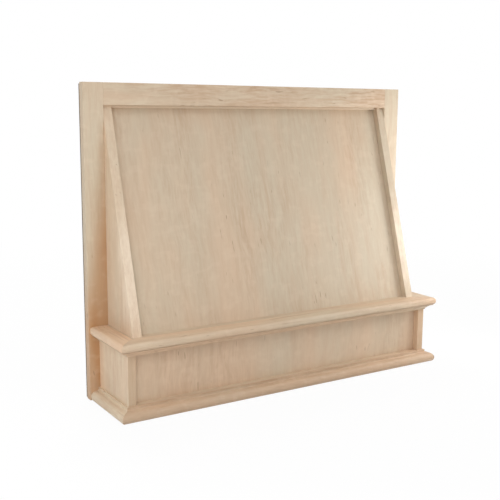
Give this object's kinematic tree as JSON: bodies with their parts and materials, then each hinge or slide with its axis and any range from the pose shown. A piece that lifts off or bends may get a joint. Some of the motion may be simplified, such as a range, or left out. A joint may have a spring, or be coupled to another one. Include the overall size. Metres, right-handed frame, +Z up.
{
  "type": "wooden range hood cover",
  "caption": "Slant-front wooden range hood cover: face frame, recessed canopy panel, nosed mantel and moulded box, open at the back and foot for a ventilator liner.",
  "frame": {"origin": "middle of the footprint's bounding box, on the level of the cover's foot", "axes": "+X to the right as seen from the front, +Y towards the wall, +Z up"},
  "size_m": [0.9144, 0.2144, 0.7255],
  "materials": {
    "maple": "sanded, raw",
    "maple_ply": "sanded, raw",
    "core_ply": "raw",
    "poplar": "planed, raw",
    "beech": "fluted, raw",
    "zinc_steel": "zinc plated"
  },
  "bodies": {
    "root": {"left_stile": "maple", "right_stile": "maple", "top_rail": "maple", "left_cheek": "maple", "right_cheek": "maple", "top_stop": "maple", "left_box_side": "maple", "right_box_side": "maple", "box_top_rail": "maple", "box_bottom_rail": "maple", "mantel_cap_front": "maple", "mantel_cap_left": "maple", "mantel_cap_right": "maple", "bed_mould_front": "maple", "bed_mould_left": "maple", "bed_mould_right": "maple", "base_mould_front": "maple", "base_mould_left": "maple", "base_mould_right": "maple", "canopy_panel": "maple_ply", "box_panel": "maple_ply", "left_rear_upright": "core_ply", "right_rear_upright": "core_ply", "rear_top_rail": "core_ply", "shelf_front": "core_ply", "shelf_left": "core_ply", "shelf_right": "core_ply", "shelf_cleat_front": "poplar", "shelf_cleat_left": "poplar", "shelf_cleat_right": "poplar", "left_corner_cleat": "poplar", "right_corner_cleat": "poplar", "left_panel_cleat": "poplar", "right_panel_cleat": "poplar", "panel_foot_cleat": "poplar", "upper_hanging_rail": "poplar", "lower_hanging_rail": "poplar", "left_liner_ledge": "poplar", "right_liner_ledge": "poplar", "front_liner_ledge": "poplar", "frame_dowels": "beech", "upright_screws": "zinc_steel", "box_side_screws": "zinc_steel", "cheek_screws": "zinc_steel", "hanging_rail_screws": "zinc_steel", "cheek_foot_screws": "zinc_steel", "shelf_screws": "zinc_steel", "cleat_screws": "zinc_steel", "ledge_screws": "zinc_steel"}
  },
  "joints": []
}
